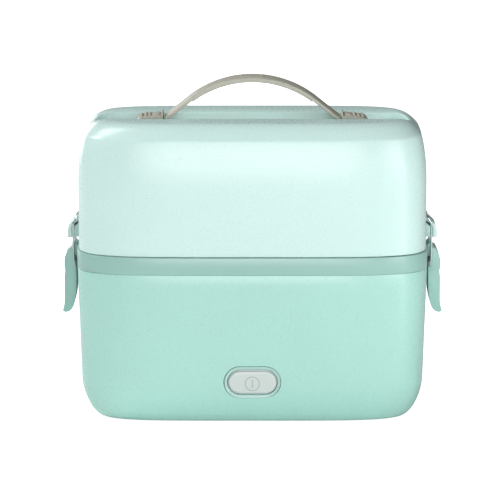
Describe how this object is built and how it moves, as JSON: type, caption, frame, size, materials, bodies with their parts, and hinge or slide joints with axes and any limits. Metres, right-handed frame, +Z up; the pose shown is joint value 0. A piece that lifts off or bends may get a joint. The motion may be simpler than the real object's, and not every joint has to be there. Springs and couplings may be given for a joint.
{
  "type": "electric lunch box",
  "caption": "Squared-oval electric lunch box with a lift-off lid, side draw latches, a flexible strap handle on sliders, a push button and food bowls inside.",
  "frame": {"origin": "on the table under the centre of the box", "axes": "+Z up, -Y towards the front with the push button, +X to the right seen from the front"},
  "size_m": [0.2608, 0.12, 0.2331],
  "materials": {
    "base_mint": "satin",
    "band_mint": "satin",
    "lid_mint": "satin",
    "liner_white": "gloss",
    "silicone": "matte",
    "handle_beige": "matte",
    "retainer_grey": "matte",
    "foot_rubber": "matte",
    "bright_steel": "polished",
    "brushed_steel": "brushed",
    "plate_aluminium": "cast",
    "ceramic_cream": "matte",
    "sleeve_grey": "matte",
    "inlet_dark": "matte",
    "button_grey": "satin",
    "clear_plastic": "translucent"
  },
  "bodies": {
    "root": {"base_shell": "base_mint", "bottom_cover": "base_mint", "switch_bezel": "base_mint", "band_ring": "band_mint", "latch_bracket_left": "band_mint", "latch_bracket_right": "band_mint", "rubber_feet": "foot_rubber", "cover_screws": "bright_steel", "clamp_screws": "bright_steel", "inlet_blades": "bright_steel", "inlet_screws": "bright_steel", "bracket_screws": "bright_steel", "hinge_pin_left": "bright_steel", "hinge_pin_right": "bright_steel", "switch_spring": "bright_steel", "heater_clamp": "bright_steel", "heating_tub": "brushed_steel", "lower_bowl_left": "brushed_steel", "lower_bowl_right": "brushed_steel", "upper_bowl_left": "brushed_steel", "upper_bowl_right": "brushed_steel", "heating_plate": "plate_aluminium", "ptc_heater": "ceramic_cream", "thermostat": "ceramic_cream", "thermal_fuse": "sleeve_grey", "wiring_loom": "sleeve_grey", "inlet_housing": "inlet_dark", "switch_body": "inlet_dark", "lower_bowl_lid_left": "clear_plastic", "lower_bowl_lid_right": "clear_plastic", "middle_tray": "clear_plastic", "upper_bowl_lid_left": "clear_plastic", "upper_bowl_lid_right": "clear_plastic"},
    "lid": {"lid_shell": "lid_mint", "lid_liner": "liner_white", "lid_seal": "silicone", "liner_screws": "bright_steel", "catch_left": "lid_mint", "catch_right": "lid_mint", "catch_screws": "bright_steel", "steam_vent": "lid_mint", "handle_strap": "handle_beige"},
    "handle_end_left": {"handle_slider_left": "handle_beige", "slider_retainer_left": "retainer_grey", "slider_screw_left": "bright_steel"},
    "lever_left": {"latch_lever_left": "band_mint"},
    "bail_left": {"latch_bail_left": "bright_steel"},
    "handle_end_right": {"handle_slider_right": "handle_beige", "slider_retainer_right": "retainer_grey", "slider_screw_right": "bright_steel"},
    "lever_right": {"latch_lever_right": "band_mint"},
    "bail_right": {"latch_bail_right": "bright_steel"},
    "power_button": {"switch_button": "button_grey"}
  },
  "joints": [
    {"name": "lid_lift", "type": "slide", "parent": "root", "child": "lid", "axis": [0, 0, 1], "range_m": [0, 0.085]},
    {"name": "lever_right_flip", "type": "hinge", "parent": "root", "child": "lever_right", "pos_m": [0.1242, 0, 0.1127], "axis": [0, -1, 0], "range_deg": [0, 100.01]},
    {"name": "lever_left_flip", "type": "hinge", "parent": "root", "child": "lever_left", "pos_m": [-0.1242, 0, 0.1127], "axis": [0, 1, 0], "range_deg": [0, 100.01]},
    {"name": "bail_right_swing", "type": "hinge", "parent": "lever_right", "child": "bail_right", "pos_m": [0.1219, 0, 0.1032], "axis": [0, 1, 0], "range_deg": [0, 240.01]},
    {"name": "bail_left_swing", "type": "hinge", "parent": "lever_left", "child": "bail_left", "pos_m": [-0.1219, 0, 0.1032], "axis": [0, -1, 0], "range_deg": [0, 240.01]},
    {"name": "handle_right_slide", "type": "slide", "parent": "lid", "child": "handle_end_right", "axis": [1, 0, 0], "range_m": [0, 0.007], "deforming": ["handle_strap"]},
    {"name": "handle_left_slide", "type": "slide", "parent": "lid", "child": "handle_end_left", "axis": [-1, 0, 0], "range_m": [0, 0.007]},
    {"name": "power_button_press", "type": "slide", "parent": "root", "child": "power_button", "axis": [0, 1, 0], "range_m": [0, 0.002], "stiffness_N_per_m": 300, "springref_m": -0.0005, "deforming": ["switch_spring"]}
  ],
  "couplings": [
    {"joint": "lever_right_flip", "follows": "lid_lift", "rad_per_m": 20.533},
    {"joint": "lever_left_flip", "follows": "lid_lift", "rad_per_m": 20.533},
    {"joint": "bail_right_swing", "follows": "lid_lift", "rad_per_m": 49.28},
    {"joint": "bail_left_swing", "follows": "lid_lift", "rad_per_m": 49.28},
    {"joint": "handle_left_slide", "follows": "handle_right_slide", "ratio": 1}
  ]
}
